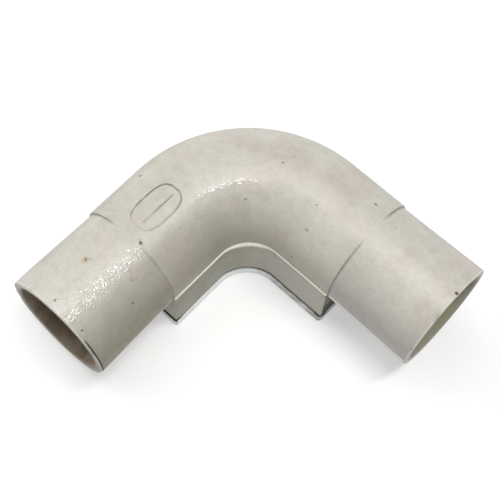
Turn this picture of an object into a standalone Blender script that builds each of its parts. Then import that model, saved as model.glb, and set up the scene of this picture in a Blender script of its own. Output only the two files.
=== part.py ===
"""Inspection elbow for 20 mm electrical conduit.

A 90 degree round bend with a plain push-in socket on each arm. Below its middle plane the bend widens into
a flat-walled box that is open underneath, so that cables can be reached, and a screwed cover closes it.

The origin is on the resting plane, under the point where the two socket axes meet. The right socket runs
along +X, the left socket along -Y, and +Z is up. Metres.
"""

import math

import bmesh
import bpy
from mathutils import Matrix, Vector

# The bend and its two arms, measured from the point where the two socket axes meet
BEND_RADIUS = 0.0197
ARM_LENGTH = 0.0533
SHOULDER = 0.0331
AXIS_HEIGHT = 0.0173

# Sockets: a slight taper outside and inside, and a stop that the conduit butts against
MOUTH_RADIUS = 0.0120
ROOT_RADIUS = 0.01165
BORE_MOUTH_RADIUS = 0.0101
BORE_ROOT_RADIUS = 0.0100
SOCKET_DEPTH = 0.0200
STOP_RADIUS = 0.0092

# Section of the bend: a round top, and flat walls from the mould's parting plane down to the rim
OUTER_HALF_WIDTH = 0.0121
INNER_HALF_WIDTH = 0.01185
ROUND_HEIGHT = 0.0117
WALL_OFFSET = 0.0120
PARTING_DROP = 0.0016
RIM_DROP = 0.0141
CHAMBER_RADIUS = 0.0100
END_WALL = 0.0020

# Cover: a plate flush with the box, with ribs that sit inside it
COVER_THICKNESS = 0.0027
COVER_CORNER_RADIUS = 0.0008
RIB_HEIGHT = 0.0016
RIB_THICKNESS = 0.0012
RIB_CLEARANCE = 0.00035

# Two M3 x 6 countersunk screws, and the threaded inserts that take them
SCREW_DISTANCE = 0.0286
SCREW_LENGTH = 0.0060
SCREW_RADIUS = 0.0015
SCREW_HEAD_RADIUS = 0.00275
SCREW_RECESS = 0.00015
SLOT_WIDTH = 0.0008
SLOT_DEPTH = 0.0007
COVER_HOLE_RADIUS = 0.0018
SINK_RADIUS = 0.0031
INSERT_RADIUS = 0.0023
INSERT_BORE_RADIUS = 0.00185
INSERT_LENGTH = 0.0038
INSERT_INSET = 0.0002
BOSS_RADIUS = 0.0034
BOSS_DROP = 0.0094
FIT_GAP = 0.0003

BEND_STEPS = 14
ROUND_STEPS = 48
SMALL_STEPS = 24
OVERSHOOT = 0.001

UP = Vector((0, 0, 1))
BEND_CENTRE = Vector((BEND_RADIUS, -BEND_RADIUS, AXIS_HEIGHT))
RIM_HEIGHT = AXIS_HEIGHT - RIM_DROP

# Each arm: the direction it points in, and the side that is on the outside of the bend
ARMS = {
    "left": (Vector((0, -1, 0)), Vector((-1, 0, 0))),
    "right": (Vector((1, 0, 0)), Vector((0, 1, 0))),
}

OFF_WHITE = (0.72, 0.69, 0.61, 1)
COVER_WHITE = (0.74, 0.73, 0.69, 1)
STEEL = (0.56, 0.57, 0.58, 1)
BRASS = (0.72, 0.53, 0.24, 1)


def clear_scene():
    for old in list(bpy.data.objects):
        bpy.data.objects.remove(old)


def make_material(name, colour, roughness, metallic=0.0):
    material = bpy.data.materials.new(name)
    material.use_nodes = True
    shader = material.node_tree.nodes["Principled BSDF"]
    shader.inputs["Base Color"].default_value = colour
    shader.inputs["Roughness"].default_value = roughness
    shader.inputs["Metallic"].default_value = metallic
    return material


def arm_station(arm, distance):
    """Centre and outward side of the tube, this far along an arm."""
    direction, outward = ARMS[arm]
    return direction * distance + UP * AXIS_HEIGHT, outward


def bend_stations(reach):
    """Stations from one arm, round the bend and along the other, ending this far along each arm."""
    stations = [arm_station("left", reach)]
    for step in range(BEND_STEPS + 1):
        turn = math.radians(90) * step / BEND_STEPS
        outward = Vector((-math.cos(turn), math.sin(turn), 0))
        stations.append((BEND_CENTRE + outward * BEND_RADIUS, outward))
    stations.append(arm_station("right", reach))
    return stations


def arc(radius_across, radius_up, start, end, steps):
    """Points of an elliptical arc about the tube's centre, from start to end in degrees."""
    points = []
    for step in range(steps + 1):
        angle = math.radians(start + (end - start) * step / steps)
        points.append((radius_across * math.cos(angle), radius_up * math.sin(angle)))
    return points


def body_section():
    """Outline of the bend, as (outward, up) points: the walls, and a round top with a ledge at each side."""
    def parting_angle(half_width):
        return math.degrees(math.asin(PARTING_DROP / ROUND_HEIGHT))

    quarter = ROUND_STEPS // 4
    outer = arc(OUTER_HALF_WIDTH, ROUND_HEIGHT, -parting_angle(OUTER_HALF_WIDTH), 90, quarter)
    inner = arc(INNER_HALF_WIDTH, ROUND_HEIGHT, 90, 180 + parting_angle(INNER_HALF_WIDTH), quarter)
    walls_in = [(-WALL_OFFSET, -PARTING_DROP), (-WALL_OFFSET, -RIM_DROP)]
    walls_out = [(WALL_OFFSET, -RIM_DROP), (WALL_OFFSET, -PARTING_DROP)]
    return outer + inner[1:] + walls_in + walls_out


def chamber_section():
    """Outline of the space inside the bend: a round roof on straight sides, running out of the bottom."""
    bottom = -RIM_DROP - OVERSHOOT
    roof = arc(CHAMBER_RADIUS, CHAMBER_RADIUS, 0, 180, ROUND_STEPS // 2)
    return roof + [(-CHAMBER_RADIUS, bottom), (CHAMBER_RADIUS, bottom)]


def finish_mesh(mesh, name):
    """Turn a bmesh into a mesh with its faces pointing out."""
    bmesh.ops.recalc_face_normals(mesh, faces=mesh.faces)
    data = bpy.data.meshes.new(name)
    mesh.to_mesh(data)
    mesh.free()
    return data


def loft(name, rings):
    """Closed mesh through rings of equal length, each a list of world points."""
    mesh = bmesh.new()
    made = [[mesh.verts.new(point) for point in ring] for ring in rings]
    count = len(rings[0])
    for low, high in zip(made, made[1:]):
        for index in range(count):
            following = (index + 1) % count
            mesh.faces.new((low[index], low[following], high[following], high[index]))
    mesh.faces.new(made[0])
    mesh.faces.new(made[-1])
    return finish_mesh(mesh, name)


def sweep(name, section, stations):
    """Carry a section, given as (outward, up) points, along the stations."""
    rings = [
        [centre + outward * across + UP * up for across, up in section]
        for centre, outward in stations
    ]
    return loft(name, rings)


def arm_tube(name, arm, profile):
    """Round solid on an arm's axis, through (distance, radius) pairs."""
    rings = []
    for distance, radius in profile:
        centre, outward = arm_station(arm, distance)
        circle = arc(radius, radius, 0, 360, ROUND_STEPS)[:-1]
        rings.append([centre + outward * across + UP * up for across, up in circle])
    return loft(name, rings)


def turned(name, profile, steps=SMALL_STEPS):
    """Solid of revolution about +Z, through (height, radius) pairs."""
    rings = []
    for height, radius in profile:
        circle = arc(radius, radius, 0, 360, steps)[:-1]
        rings.append([Vector((across, up, height)) for across, up in circle])
    return loft(name, rings)


def tube(name, profile_out, profile_in, steps=SMALL_STEPS):
    """Hollow solid of revolution about +Z: down the inside and up the outside, closed into a ring."""
    profile = profile_out + profile_in[::-1]
    mesh = bmesh.new()
    rings = []
    for height, radius in profile:
        circle = arc(radius, radius, 0, 360, steps)[:-1]
        rings.append([mesh.verts.new((across, up, height)) for across, up in circle])
    for low, high in zip(rings, rings[1:] + rings[:1]):
        for index in range(steps):
            following = (index + 1) % steps
            mesh.faces.new((low[index], low[following], high[following], high[index]))
    return finish_mesh(mesh, name)


def plan_outline(inside, outside, reach, corner_radius=0.0):
    """Outline seen from above of a band along the bend, between two offsets and cut square at both ends."""
    stations = bend_stations(reach)
    outer = [centre + outward * outside for centre, outward in stations]
    inner = [centre - outward * inside for centre, outward in stations]
    outline = outer + inner[::-1]
    if corner_radius == 0.0:
        return outline
    corners = {0, len(stations) - 1, len(stations), len(outline) - 1}
    rounded = []
    for index, corner in enumerate(outline):
        if index in corners:
            before = (outline[index - 1] - corner).normalized()
            after = (outline[(index + 1) % len(outline)] - corner).normalized()
            rounded += round_corner(corner, before, after, corner_radius)
        else:
            rounded.append(corner)
    return rounded


def round_corner(corner, before, after, radius):
    """Points of the arc that rounds a square corner between two directions."""
    centre = corner + (before + after) * radius
    points = []
    steps = 4
    for step in range(steps + 1):
        angle = math.radians(90) * step / steps
        points.append(centre - after * radius * math.cos(angle) - before * radius * math.sin(angle))
    return points


def plate(name, outline, low, high):
    """Upright solid over an outline, between two heights."""
    return loft(name, [[Vector((p.x, p.y, z)) for p in outline] for z in (low, high)])


def add_object(name, data, material=None, location=(0, 0, 0)):
    made = bpy.data.objects.new(name, data)
    made.location = location
    bpy.context.scene.collection.objects.link(made)
    if material:
        data.materials.append(material)
        data.shade_smooth()
        data.set_sharp_from_angle(angle=math.radians(35))
    return made


def combine(target, operation, name, data, location=(0, 0, 0)):
    """Join a helper solid to the target, or cut it away."""
    helper = add_object(name, data, location=location)
    helper.hide_render = True
    helper.display_type = "WIRE"
    modifier = target.modifiers.new(name, "BOOLEAN")
    modifier.operation = operation
    modifier.solver = "EXACT"
    modifier.object = helper


def screw_place(arm):
    """Where a cover screw's axis meets the resting plane."""
    return ARMS[arm][0] * SCREW_DISTANCE


def make_elbow_body(material):
    body = add_object(
        "elbow_body", sweep("elbow_body", body_section(), bend_stations(SHOULDER)), material
    )
    buried = SHOULDER - OVERSHOOT
    for arm in ARMS:
        outside = [(buried, STOP_RADIUS + OVERSHOOT), (SHOULDER, ROOT_RADIUS), (ARM_LENGTH, MOUTH_RADIUS)]
        combine(body, "UNION", arm + "_socket", arm_tube(arm + "_socket", arm, outside))
    chamber_reach = SHOULDER - END_WALL
    chamber = sweep("chamber", chamber_section(), bend_stations(chamber_reach))
    combine(body, "DIFFERENCE", "chamber", chamber)
    for arm in ARMS:
        stop = ARM_LENGTH - SOCKET_DEPTH
        port = [(chamber_reach - OVERSHOOT, STOP_RADIUS), (stop + OVERSHOOT, STOP_RADIUS)]
        bore = [(stop, BORE_ROOT_RADIUS), (ARM_LENGTH + OVERSHOOT, BORE_MOUTH_RADIUS)]
        combine(body, "DIFFERENCE", arm + "_port", arm_tube(arm + "_port", arm, port))
        combine(body, "DIFFERENCE", arm + "_bore", arm_tube(arm + "_bore", arm, bore))
    for arm in ARMS:
        place = screw_place(arm)
        boss_bottom = RIM_HEIGHT + INSERT_INSET / 2
        boss = [(boss_bottom, BOSS_RADIUS), (AXIS_HEIGHT - BOSS_DROP, BOSS_RADIUS)]
        combine(body, "UNION", arm + "_boss", turned(arm + "_boss", boss), place)
        hole_top = RIM_HEIGHT + INSERT_INSET + INSERT_LENGTH + FIT_GAP
        hole_radius = INSERT_RADIUS + FIT_GAP
        hole = [(RIM_HEIGHT - OVERSHOOT, hole_radius), (hole_top, hole_radius)]
        combine(body, "DIFFERENCE", arm + "_insert_hole", turned(arm + "_insert_hole", hole), place)
    return body


def make_cover(material):
    outline = plan_outline(WALL_OFFSET, WALL_OFFSET, SHOULDER, COVER_CORNER_RADIUS)
    cover = add_object("inspection_cover", plate("inspection_cover", outline, 0, COVER_THICKNESS), material)
    rib_outside = CHAMBER_RADIUS - RIB_CLEARANCE
    rib_inside = rib_outside - RIB_THICKNESS
    rib_reach = SHOULDER - END_WALL - RIB_CLEARANCE
    sides = {"outer_rib": (-rib_inside, rib_outside), "inner_rib": (rib_outside, -rib_inside)}
    for name, (inside, outside) in sides.items():
        rib = plate(
            name,
            plan_outline(inside, outside, rib_reach),
            COVER_THICKNESS / 2,
            COVER_THICKNESS + RIB_HEIGHT,
        )
        combine(cover, "UNION", name, rib)
    sink_depth = SINK_RADIUS - COVER_HOLE_RADIUS
    past = SINK_RADIUS + OVERSHOOT
    hole = [
        (-OVERSHOOT, past),
        (sink_depth, COVER_HOLE_RADIUS),
        (COVER_THICKNESS + OVERSHOOT, COVER_HOLE_RADIUS),
    ]
    for arm in ARMS:
        name = arm + "_cover_hole"
        combine(cover, "DIFFERENCE", name, turned(name, hole), screw_place(arm))
    return cover


def make_cover_screw(arm, material):
    """Countersunk screw, head down. Its own origin is on its axis, at the flat of the head."""
    head_depth = SCREW_HEAD_RADIUS - SCREW_RADIUS
    tip = 0.0004
    profile = [
        (0, SCREW_HEAD_RADIUS),
        (head_depth, SCREW_RADIUS),
        (SCREW_LENGTH - tip, SCREW_RADIUS),
        (SCREW_LENGTH, SCREW_RADIUS - tip),
    ]
    name = "cover_screw_" + arm
    place = screw_place(arm) + UP * SCREW_RECESS
    screw = add_object(name, turned(name, profile), material, place)
    slot = bmesh.new()
    size = Matrix.Diagonal((SCREW_HEAD_RADIUS * 3, SLOT_WIDTH, SLOT_DEPTH * 2, 1))
    bmesh.ops.create_cube(slot, size=1, matrix=size)
    combine(screw, "DIFFERENCE", arm + "_driver_slot", finish_mesh(slot, arm + "_driver_slot"), place)
    return screw


def make_threaded_insert(arm, material):
    """Plain-bored stand-in for the insert's thread, with a groove round its middle that locks it in the boss."""
    groove = 0.0003
    middle = INSERT_LENGTH / 2
    half_groove = 0.0004
    outside = [
        (0, INSERT_RADIUS),
        (middle - half_groove, INSERT_RADIUS),
        (middle - half_groove, INSERT_RADIUS - groove),
        (middle + half_groove, INSERT_RADIUS - groove),
        (middle + half_groove, INSERT_RADIUS),
        (INSERT_LENGTH, INSERT_RADIUS),
    ]
    inside = [(0, INSERT_BORE_RADIUS), (INSERT_LENGTH, INSERT_BORE_RADIUS)]
    name = "threaded_insert_" + arm
    place = screw_place(arm) + UP * (RIM_HEIGHT + INSERT_INSET)
    return add_object(name, tube(name, outside, inside), material, place)


def main():
    clear_scene()
    body_plastic = make_material("aged_pvc", OFF_WHITE, 0.38)
    cover_plastic = make_material("cover_pvc", COVER_WHITE, 0.42)
    steel = make_material("zinc_steel", STEEL, 0.35, 1.0)
    brass = make_material("insert_brass", BRASS, 0.32, 1.0)
    make_elbow_body(body_plastic)
    make_cover(cover_plastic)
    for arm in ARMS:
        make_cover_screw(arm, steel)
        make_threaded_insert(arm, brass)


main()
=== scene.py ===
"""Looks of the conduit inspection elbow: fine meshes and materials around its solids. Metres, +Z up."""

import math

import bmesh
import bpy
import numpy as np
from mathutils import Matrix, Vector, noise


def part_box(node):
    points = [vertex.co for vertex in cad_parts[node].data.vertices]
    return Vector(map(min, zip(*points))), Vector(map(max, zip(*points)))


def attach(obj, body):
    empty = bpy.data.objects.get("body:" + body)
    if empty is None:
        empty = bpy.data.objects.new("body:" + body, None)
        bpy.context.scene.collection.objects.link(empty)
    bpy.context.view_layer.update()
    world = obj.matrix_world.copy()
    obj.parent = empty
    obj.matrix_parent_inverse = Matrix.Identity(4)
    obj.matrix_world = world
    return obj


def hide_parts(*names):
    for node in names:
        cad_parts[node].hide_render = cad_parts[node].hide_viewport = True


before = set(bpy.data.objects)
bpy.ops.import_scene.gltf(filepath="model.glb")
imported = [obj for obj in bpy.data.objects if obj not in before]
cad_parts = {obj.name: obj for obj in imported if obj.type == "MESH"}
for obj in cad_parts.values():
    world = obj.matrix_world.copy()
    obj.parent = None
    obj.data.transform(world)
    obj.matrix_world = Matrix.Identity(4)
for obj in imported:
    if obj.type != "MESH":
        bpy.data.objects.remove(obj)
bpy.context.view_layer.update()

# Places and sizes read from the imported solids
BODY_LOW, BODY_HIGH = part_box("elbow_body")
ARM_LENGTH = BODY_HIGH.x
OUTER_HALF_WIDTH = -BODY_LOW.x
RIM_HEIGHT = BODY_LOW.z

# The design's other driving dimensions
AXIS_HEIGHT = 0.0173
BEND_RADIUS = 0.0197
SHOULDER = 0.0331
ROUND_HEIGHT = 0.0117
INNER_HALF_WIDTH = 0.01182
MOUTH_RADIUS = 0.0120
ROOT_RADIUS = 0.01165
BORE_MOUTH_RADIUS = 0.0101
BORE_ROOT_RADIUS = 0.0100
SOCKET_DEPTH = 0.0200
STOP_RADIUS = 0.0092
CHAMBER_RADIUS = 0.0100
END_WALL = 0.0020
PARTING_DROP = 0.0016
RIM_DROP = AXIS_HEIGHT - RIM_HEIGHT
WALL_TOP = 0.01212
WALL_BOTTOM = 0.01195
CREST_BULGE = 0.00022
COVER_THICKNESS = 0.0027
SCREW_DISTANCE = 0.0286
MM = 0.001

UP = Vector((0, 0, 1))
RISE = np.array(UP)
BEND_CENTRE = np.array([BEND_RADIUS, -BEND_RADIUS, AXIS_HEIGHT])
HALF_ARC = BEND_RADIUS * math.radians(45)
PATH_END = HALF_ARC + ARM_LENGTH - BEND_RADIUS
PATH_SHOULDER = HALF_ARC + SHOULDER - BEND_RADIUS
ARMS = {"left": Vector((0, -1, 0)), "right": Vector((1, 0, 0))}


# ---------------------------------------------------------------- geometry helpers


def path_point(along):
    """Centre and outward side of the tube at a distance along its centreline from the middle of the bend."""
    if abs(along) <= HALF_ARC:
        turn = math.radians(45) + along / BEND_RADIUS
        outward = np.array([-math.cos(turn), math.sin(turn), 0.0])
        return BEND_CENTRE + outward * BEND_RADIUS, outward
    distance = abs(along) - HALF_ARC + BEND_RADIUS
    if along < 0:
        return np.array([0.0, -distance, AXIS_HEIGHT]), np.array([-1.0, 0.0, 0.0])
    return np.array([distance, 0.0, AXIS_HEIGHT]), np.array([0.0, 1.0, 0.0])


def crest_share(along):
    """1 at the middle of the bend, falling to 0 where the straight arms begin."""
    return max(0.0, math.cos(math.pi / 2 * min(1.0, abs(along) / HALF_ARC))) ** 2


def place_ring(along, section):
    """World points of a section, given as an array of (outward, up), at a place along the path."""
    centre, outward = path_point(along)
    return centre + section[:, :1] * outward + section[:, 1:] * RISE


def quarter(steps):
    """(sine, cosine) pairs of a quarter turn, from (0, 1) to (1, 0)."""
    angles = [math.radians(90 * i / steps) for i in range(steps + 1)]
    return [(math.sin(angle), math.cos(angle)) for angle in angles]


def even(reach, steps):
    """Even steps from one side of zero to the other."""
    return [reach * (2 * i / steps - 1) for i in range(steps + 1)]


def rework(data, work):
    """Let a function work on a mesh's editable copy, and keep what it makes."""
    mesh = bmesh.new()
    mesh.from_mesh(data)
    work(mesh)
    mesh.to_mesh(data)
    mesh.free()


def turn_outward(mesh):
    bmesh.ops.recalc_face_normals(mesh, faces=mesh.faces)


# Points closer than this are one point: slivers that cuts leave, and the two rows of a closed ring's seam
SLIVER = 0.000001
SEAM = 0.0000001


def close_up(mesh):
    """Weld the slivers that cuts leave along an edge, and fill any hole of three sides."""
    bmesh.ops.remove_doubles(mesh, verts=mesh.verts, dist=SLIVER)
    bmesh.ops.holes_fill(mesh, edges=mesh.edges, sides=3)


def close_seam(mesh):
    bmesh.ops.remove_doubles(mesh, verts=mesh.verts, dist=SEAM)
    turn_outward(mesh)


def grid_mesh(name, rings, caps=True):
    """Mesh through rings of equal length, with a face across each end."""
    count = len(rings[0])
    faces = []
    for row in range(len(rings) - 1):
        low, high = row * count, (row + 1) * count
        for index in range(count):
            following = (index + 1) % count
            faces.append((low + index, low + following, high + following, high + index))
    if caps:
        faces.append(tuple(range(count))[::-1])
        last = (len(rings) - 1) * count
        faces.append(tuple(range(last, last + count)))
    data = bpy.data.meshes.new(name)
    data.from_pydata(np.concatenate(rings).tolist(), [], faces)
    rework(data, turn_outward)
    return data


def merge(target, *meshes):
    """Add loose meshes to an object's own."""
    rework(target.data, lambda mesh: [mesh.from_mesh(data) for data in meshes])


def add_object(name, data):
    made = bpy.data.objects.new(name, data)
    bpy.context.scene.collection.objects.link(made)
    return made


def shade(piece, angle=32):
    piece.data.shade_smooth()
    piece.data.set_sharp_from_angle(angle=math.radians(angle))


def combine(target, operation, *tools):
    """Join tool objects to the target, or cut them from it, for good."""
    bpy.context.view_layer.update()
    for tool in tools:
        modifier = target.modifiers.new(operation, "BOOLEAN")
        modifier.operation = operation
        modifier.solver = "EXACT"
        modifier.object = tool
    evaluated = target.evaluated_get(bpy.context.evaluated_depsgraph_get())
    made = bpy.data.meshes.new_from_object(evaluated)
    target.modifiers.clear()
    target.data = made
    for tool in tools:
        bpy.data.objects.remove(tool)


def turned(name, profile, steps=48):
    """Solid of revolution about +Z through (height, radius) pairs."""
    angles = np.linspace(0, 2 * np.pi, steps, endpoint=False)
    rings = [
        np.stack([radius * np.cos(angles), radius * np.sin(angles), np.full(steps, height)], 1)
        for height, radius in profile
    ]
    return grid_mesh(name, rings)


def post(name, profile, place, steps=48):
    """A solid of revolution at a place, its heights measured from the resting plane."""
    made = add_object(name, turned(name, profile, steps))
    made.location = (place[0], place[1], 0)
    return made


# ---------------------------------------------------------------- sections of the elbow

# How many points each stretch of half a section has, from the bottom middle up to the top
FLAT_POINTS = 10
CORNER_POINTS = 4
WALL_POINTS = 14
LEDGE_POINTS = 9
ROUND_POINTS = 72

CORNER_RADIUS = 0.00018
LEDGE_RADIUS = 0.00016
BEAD_HEIGHT = 0.00010
BEAD_HALF_WIDTH = 0.00026
RIM_WARP = 0.00018
RIM_WARP_START = 0.0050
RIM_WARP_RISE = 0.0035


def box_half(half_width, wall_top, wall_bottom):
    """Half of the bend's section as (across, up): floor, rim corner, wall, ledge and round top."""
    floor = [(wall_bottom - CORNER_RADIUS) * i / FLAT_POINTS for i in range(FLAT_POINTS)]
    points = [(across, -RIM_DROP) for across in floor]
    for i in range(CORNER_POINTS):
        angle = math.radians(-90 + 90 * i / CORNER_POINTS)
        across = wall_bottom - CORNER_RADIUS + CORNER_RADIUS * math.cos(angle)
        points.append((across, -RIM_DROP + CORNER_RADIUS + CORNER_RADIUS * math.sin(angle)))
    low, high = -RIM_DROP + CORNER_RADIUS, -PARTING_DROP - LEDGE_RADIUS
    for i in range(WALL_POINTS):
        share = i / WALL_POINTS
        points.append((wall_bottom + (wall_top - wall_bottom) * share, low + (high - low) * share))
    round_start = math.asin(-PARTING_DROP / ROUND_HEIGHT)
    root = half_width * math.cos(round_start)
    ledge = max(wall_top - root, 0.00002)
    radius = min(LEDGE_RADIUS, ledge * 0.8)
    for sine, cosine in quarter(LEDGE_POINTS - 4):
        points.append((wall_top - radius + radius * cosine, -PARTING_DROP - radius * (1 - sine)))
    for share in (0.35, 0.7, 0.93):
        across = (wall_top - radius) * (1 - share) + root * share
        points.append((across, -PARTING_DROP + 0.00002 * share))
    for i in range(ROUND_POINTS):
        angle = round_start + (math.radians(90) - round_start) * i / ROUND_POINTS
        points.append((half_width * math.cos(angle), ROUND_HEIGHT * math.sin(angle)))
    return points


def round_half(radius, bead=BEAD_HEIGHT):
    """Half of a socket's section with the parting line's bead, point for point with box_half."""
    parting = -math.asin(PARTING_DROP / radius)
    spread = BEAD_HALF_WIDTH / radius
    bead_low, bead_high = parting - spread, parting + spread
    lower = FLAT_POINTS + CORNER_POINTS + WALL_POINTS
    angles = [-math.pi / 2 + (bead_low + math.pi / 2) * i / lower for i in range(lower)]
    angles += [bead_low + 2 * spread * i / LEDGE_POINTS for i in range(LEDGE_POINTS)]
    angles += [bead_high + (math.pi / 2 - bead_high) * i / ROUND_POINTS for i in range(ROUND_POINTS)]
    points = []
    for angle in angles:
        off = (angle - parting) / spread
        lift = bead * max(0.0, 1 - off * off)
        points.append(((radius + lift) * math.cos(angle), (radius + lift) * math.sin(angle)))
    return points


def whole(outer_half, inner_half, top):
    """Closed section from its two halves: up the outer side, over the top and down the inner side."""
    down_side = [(-across, height) for across, height in inner_half[1:]][::-1]
    return np.array(outer_half + [(0.0, top)] + down_side)


def rim_lift(along):
    """The box's rim has warped up a little at its left end, which leaves a slot above the cover."""
    return RIM_WARP * min(1.0, max(0.0, (-along - PATH_SHOULDER + RIM_WARP_START) / RIM_WARP_RISE))


def box_section(along):
    bulge = CREST_BULGE * crest_share(along)
    outer = box_half(OUTER_HALF_WIDTH, WALL_TOP, WALL_BOTTOM)
    inner = box_half(INNER_HALF_WIDTH, WALL_TOP + bulge, WALL_BOTTOM + bulge)
    section = whole(outer, inner, ROUND_HEIGHT)
    drop = np.clip((-section[:, 1] - RIM_DROP * 0.6) / (RIM_DROP * 0.4), 0, 1)
    section[:, 1] += drop * rim_lift(along)
    return section


def round_section(radius):
    half = round_half(radius)
    return whole(half, half, radius)


# ---------------------------------------------------------------- the elbow body

RIM_ROUND = 0.00028
RIM_INSIDE = (0.0030, 0.00155, 0.0012, 0.0009, 0.0006)
FLUSH_DEGREES = 93
FLUSH_LENGTH = 0.007
SHOULDER_ROOT_RADIUS = 0.00012
SHOULDER_EDGE_RADIUS = 0.00055
BOX_RINGS = 84


def socket_radius(distance_from_mouth):
    """Outer radius of a socket, which tapers from its mouth to the shoulder."""
    share = distance_from_mouth / (ARM_LENGTH - SHOULDER)
    return MOUTH_RADIUS + (ROOT_RADIUS - MOUTH_RADIUS) * share


def socket_stations():
    """(distance from the mouth, radius shrink) of a socket's rings: a rounded rim, then widening steps."""
    stations = [(0.0, shrink) for shrink in RIM_INSIDE]
    for sine, cosine in reversed(quarter(5)):
        stations.append((RIM_ROUND * (1 - sine), RIM_ROUND * (1 - cosine)))
    reach = RIM_ROUND
    while reach < ARM_LENGTH - SHOULDER - 0.0009:
        reach += 0.00015 if reach < 0.0009 else 0.0004 if reach < 0.004 else 0.0007
        stations.append((reach, 0.0))
    return stations


def flush_share(section):
    """1 where the socket runs flush into the box, on the ridge, and 0 where it stands back from it."""
    degrees = np.degrees(np.arctan2(section[:, 1:], section[:, :1]))
    return np.clip((17 - np.abs(degrees - FLUSH_DEGREES)) / 9, 0, 1) ** 2


def socket_ring(side, distance_from_mouth, shrink=0.0):
    """A socket's section: round, and drawn up to the box's height on the ridge close to the shoulder."""
    section = round_section(socket_radius(distance_from_mouth) - shrink)
    box = box_section(side * PATH_SHOULDER)
    fade = np.clip(1 - (ARM_LENGTH - SHOULDER - distance_from_mouth) / FLUSH_LENGTH, 0, 1) ** 2
    return section + (box - section) * flush_share(section) * fade


def shoulder_rings(side):
    """Rings that climb from the socket, up the end of the box and over its edge, at one shoulder."""
    ring_socket = socket_ring(side, ARM_LENGTH - SHOULDER)
    ring_box = box_section(side * PATH_SHOULDER)
    step = ring_box - ring_socket
    height = np.linalg.norm(step, axis=1, keepdims=True)
    rise = step / np.maximum(height, 1e-9)
    root = np.minimum(SHOULDER_ROOT_RADIUS, 0.4 * height)
    edge = np.minimum(SHOULDER_EDGE_RADIUS, 0.55 * height)
    low, high = ring_socket + rise * root, ring_box - rise * edge
    rings = [(ring_socket + rise * root * (1 - cosine), root * (1 - sine)) for sine, cosine in quarter(3)]
    rings += [(low + (high - low) * share, np.zeros_like(root)) for share in (0.25, 0.5, 0.75)]
    rings += [(ring_box - rise * edge * (1 - sine), -edge * (1 - cosine)) for sine, cosine in quarter(5)]
    direction = np.array(ARMS["left" if side < 0 else "right"])
    return [place_ring(side * PATH_SHOULDER, section) + direction * out for section, out in rings]


def socket_rings(side):
    """Rings of one socket, from the mouth to the shoulder."""
    return [
        place_ring(side * (PATH_END - distance), socket_ring(side, distance, shrink))
        for distance, shrink in socket_stations()
    ]


def outer_rings():
    box_stations = even(PATH_SHOULDER - 0.0006, BOX_RINGS)
    rings = socket_rings(-1) + shoulder_rings(-1)
    rings += [place_ring(along, box_section(along)) for along in box_stations]
    return rings + shoulder_rings(1)[::-1] + socket_rings(1)[::-1]


# The mould and years of handling leave the surface very slightly uneven
UNEVEN = 0.000022
UNEVEN_SCALE = 160


def roughen(rings):
    for ring in rings:
        middle = ring.mean(axis=0)
        for index, point in enumerate(ring):
            place = Vector(point) * UNEVEN_SCALE
            push = noise.noise(place) + 0.5 * noise.noise(place * 2.3)
            away = point - middle
            ring[index] = point + away / np.linalg.norm(away) * push * UNEVEN


# Knocks on the rims: (arm, degrees round from the outer side towards the top, width, depth)
NICKS = [
    ("left", 22, 0.0015, 0.00012),
    ("left", 2, 0.0010, 0.00010),
    ("left", -14, 0.0011, 0.00011),
    ("left", 62, 0.0006, 0.00012),
    ("left", 150, 0.0007, 0.00014),
    ("right", 118, 0.0010, 0.00022),
    ("right", 35, 0.0006, 0.00012),
    ("right", 158, 0.0007, 0.00016),
]


def knock(rings):
    """Push the rim in where it has been knocked."""
    for arm, degrees, width, depth in NICKS:
        side = -1 if arm == "left" else 1
        centre, outward = path_point(side * PATH_END)
        angle = math.radians(degrees)
        where = centre + MOUTH_RADIUS * (outward * math.cos(angle) + RISE * math.sin(angle))
        inward = -(where - centre) / MOUTH_RADIUS - np.array(ARMS[arm]) * 0.8
        for ring in rings:
            near = np.linalg.norm(ring - where, axis=1)
            if near.min() > 3 * width:
                continue
            ring += np.exp(-((near / width) ** 2))[:, None] * inward * depth


INNER_ANGLES = np.linspace(-np.pi / 2, 1.5 * np.pi, 96, endpoint=False)


def inner_round(radius):
    return np.stack([radius * np.cos(INNER_ANGLES), radius * np.sin(INNER_ANGLES)], 1)


def inner_arch(radius, bottom):
    """A round roof on straight sides, point for point with inner_round."""
    section = inner_round(radius)
    corner = math.radians(45)
    for index, angle in enumerate(INNER_ANGLES):
        if 0 <= angle <= math.pi:
            continue
        side = 1 if angle < 0 else -1
        below = -angle if angle < 0 else angle - math.pi
        if below <= corner:
            section[index] = (side * radius, bottom * below / corner)
        else:
            section[index] = (side * radius * (math.pi / 2 - below) / (math.pi / 2 - corner), bottom)
    return section


def cavity():
    """The space inside the elbow as one solid: both bores, both ports, and the chamber open underneath."""
    lead_in = 0.0004
    bottom = -RIM_DROP - MM
    chamber_end = PATH_SHOULDER - END_WALL
    stop = PATH_END - SOCKET_DEPTH
    arch = inner_arch(CHAMBER_RADIUS, bottom)
    half = [
        (PATH_END + MM, inner_round(BORE_MOUTH_RADIUS + lead_in)),
        (PATH_END, inner_round(BORE_MOUTH_RADIUS + lead_in)),
        (PATH_END - lead_in / 2, inner_round(BORE_MOUTH_RADIUS + lead_in * 0.3)),
        (PATH_END - lead_in, inner_round(BORE_MOUTH_RADIUS)),
        (stop, inner_round(BORE_ROOT_RADIUS)),
        (stop, inner_round(STOP_RADIUS + 0.0001)),
        (stop - 0.0001, inner_round(STOP_RADIUS)),
        (chamber_end, inner_round(STOP_RADIUS)),
        (chamber_end, arch),
    ]
    steps = 40
    middle = [(chamber_end * (1 - 2 * i / steps), arch) for i in range(1, steps)]
    stations = half + middle + [(-along, section) for along, section in reversed(half)]
    return add_object("cavity", grid_mesh("cavity", [place_ring(a, s) for a, s in stations]))


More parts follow.
